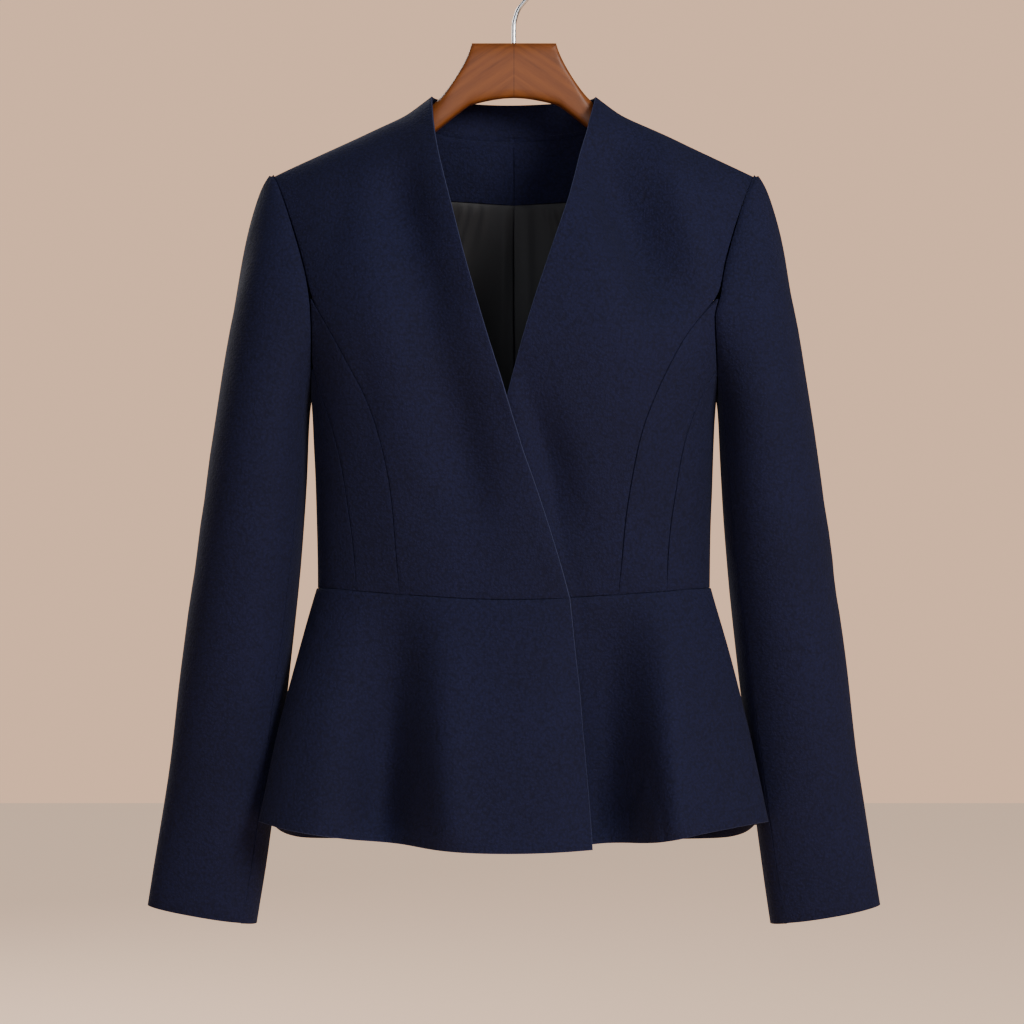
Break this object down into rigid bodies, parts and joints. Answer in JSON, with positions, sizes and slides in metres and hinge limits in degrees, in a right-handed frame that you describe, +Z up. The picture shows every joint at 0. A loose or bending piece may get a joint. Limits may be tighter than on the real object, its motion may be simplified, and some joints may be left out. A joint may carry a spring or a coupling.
{
  "type": "peplum jacket on a wooden hanger",
  "caption": "Collarless V-neck wrap-front jacket with princess seams, long set-in sleeves and a flared peplum, hung on a wooden hanger with a steel hook.",
  "frame": {"origin": "highest point inside the hook, where a rail carries it", "axes": "+Z up, front faces -Y, +X is the wearer's left"},
  "size_m": [0.6046, 0.1619, 0.8036],
  "materials": {
    "navy_wool": "matt crepe wool, fine pebbly weave",
    "charcoal_lining": "satin lining",
    "brown_wood": "satin varnish",
    "bright_steel": "polished wire"
  },
  "bodies": {
    "root": {"front_right": "navy_wool", "front_left": "navy_wool", "side_front_right": "navy_wool", "side_front_left": "navy_wool", "side_right": "navy_wool", "side_left": "navy_wool", "back_right": "navy_wool", "back_left": "navy_wool", "collar_band": "navy_wool", "neck_facing_right": "navy_wool", "neck_facing_left": "navy_wool", "peplum_front_right": "navy_wool", "peplum_front_left": "navy_wool", "peplum_back": "navy_wool", "sleeve_upper_right": "navy_wool", "sleeve_upper_left": "navy_wool", "sleeve_under_right": "navy_wool", "sleeve_under_left": "navy_wool", "lining_back_right": "charcoal_lining", "lining_back_left": "charcoal_lining", "hanger_right": "brown_wood", "hanger_left": "brown_wood", "hook": "bright_steel"}
  },
  "joints": []
}
